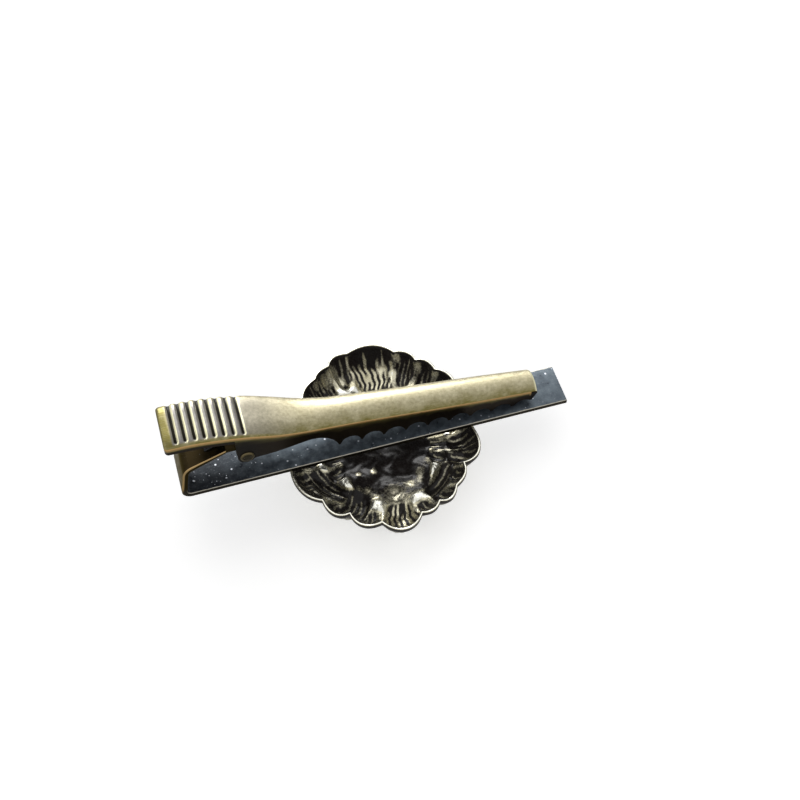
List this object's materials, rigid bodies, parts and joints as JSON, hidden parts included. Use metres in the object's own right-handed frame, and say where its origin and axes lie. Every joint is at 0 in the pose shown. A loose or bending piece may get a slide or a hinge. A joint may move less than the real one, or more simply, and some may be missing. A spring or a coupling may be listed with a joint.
{
  "type": "tie clip",
  "caption": "Sprung alligator tie clip: flat bar with folded hinge end, grooved thumb lever with toothed jaw, rivet, leaf spring and hollow lion-head emblem.",
  "frame": {"origin": "middle of the bar's inner face, which the tie lies on", "axes": "+X along the bar towards its free end, where the jaw opens; +Y across the bar; +Z from the bar towards the lever, away from the emblem"},
  "size_m": [0.0586, 0.033, 0.0207],
  "materials": {
    "dark_plate": "glossy gunmetal plating over brass, scratched, brass showing along the edges",
    "antique_brass": "stamped brass with a dark patina, brushed bright on top",
    "rivet_brass": "peened rivet with a dark patina",
    "spring_steel": "blued spring steel",
    "cast_brass": "cast antique brass, blackened in the hollows and worn bright on the ridges",
    "solder": "dull soft solder"
  },
  "bodies": {
    "bar": {"front_bar": "dark_plate", "lion_emblem": "cast_brass", "solder_joints": "solder", "leaf_spring": "spring_steel"},
    "lever": {"clip_lever": "antique_brass", "hinge_pin": "rivet_brass"}
  },
  "joints": [
    {"name": "lever_hinge", "type": "hinge", "parent": "bar", "child": "lever", "pos_m": [-0.0188, 0, 0.00666], "axis": [0, -1, 0], "range_deg": [0, 20], "stiffness_Nm_per_rad": 0.2, "springref_deg": -20.05, "deforming": ["leaf_spring"]}
  ]
}
